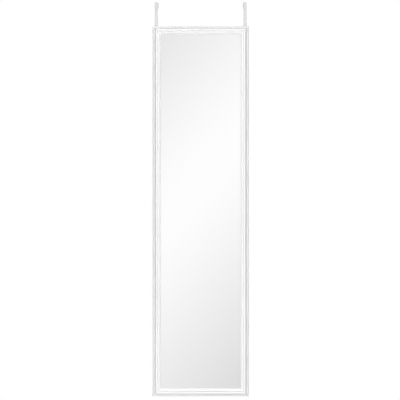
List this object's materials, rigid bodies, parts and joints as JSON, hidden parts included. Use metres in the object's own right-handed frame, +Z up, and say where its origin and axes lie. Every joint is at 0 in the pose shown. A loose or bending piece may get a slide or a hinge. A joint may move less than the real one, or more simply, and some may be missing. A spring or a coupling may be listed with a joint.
{
  "type": "over the door mirror",
  "caption": "Tall narrow mirror in a white beaded frame, hung over a door by two flat metal hooks that slide in slots to set its height.",
  "frame": {"origin": "midway between the two hooks, on the front top edge of the door that they hang on", "axes": "+Z up, +Y into the door and away from the mirror's face, +X to the right as seen from the front"},
  "size_m": [0.325, 0.0655, 1.332],
  "materials": {
    "frame_paint": "satin white paint",
    "silvered_glass": "polished",
    "foam": "fine closed-cell foam",
    "hardboard": "pressed fibre, smooth side out",
    "zinc_steel": "bright zinc plate",
    "hook_paint": "satin pale grey paint",
    "felt": "pressed felt",
    "clear_rubber": "soft milky rubber"
  },
  "bodies": {
    "mirror": {"frame_rail_top": "frame_paint", "frame_rail_bottom": "frame_paint", "frame_stile_left": "frame_paint", "frame_stile_right": "frame_paint", "mirror_plate": "silvered_glass", "foam_liner": "foam", "backing_board": "hardboard", "framing_points": "zinc_steel", "corner_v_nails": "zinc_steel", "hook_screws_left": "zinc_steel", "hook_screws_right": "zinc_steel", "hook_washers_left": "zinc_steel", "hook_washers_right": "zinc_steel", "bumper_left": "clear_rubber", "bumper_right": "clear_rubber"},
    "left_hook": {"hook_left": "hook_paint", "saddle_pad_left": "felt", "leg_pad_left": "felt", "strap_pad_left": "foam"},
    "right_hook": {"hook_right": "hook_paint", "saddle_pad_right": "felt", "leg_pad_right": "felt", "strap_pad_right": "foam"}
  },
  "joints": [
    {"name": "left_hook_slide", "type": "slide", "parent": "mirror", "child": "left_hook", "axis": [0, 0, 1], "range_m": [-0.015, 0.015]},
    {"name": "right_hook_slide", "type": "slide", "parent": "mirror", "child": "right_hook", "axis": [0, 0, 1], "range_m": [-0.015, 0.015]}
  ]
}
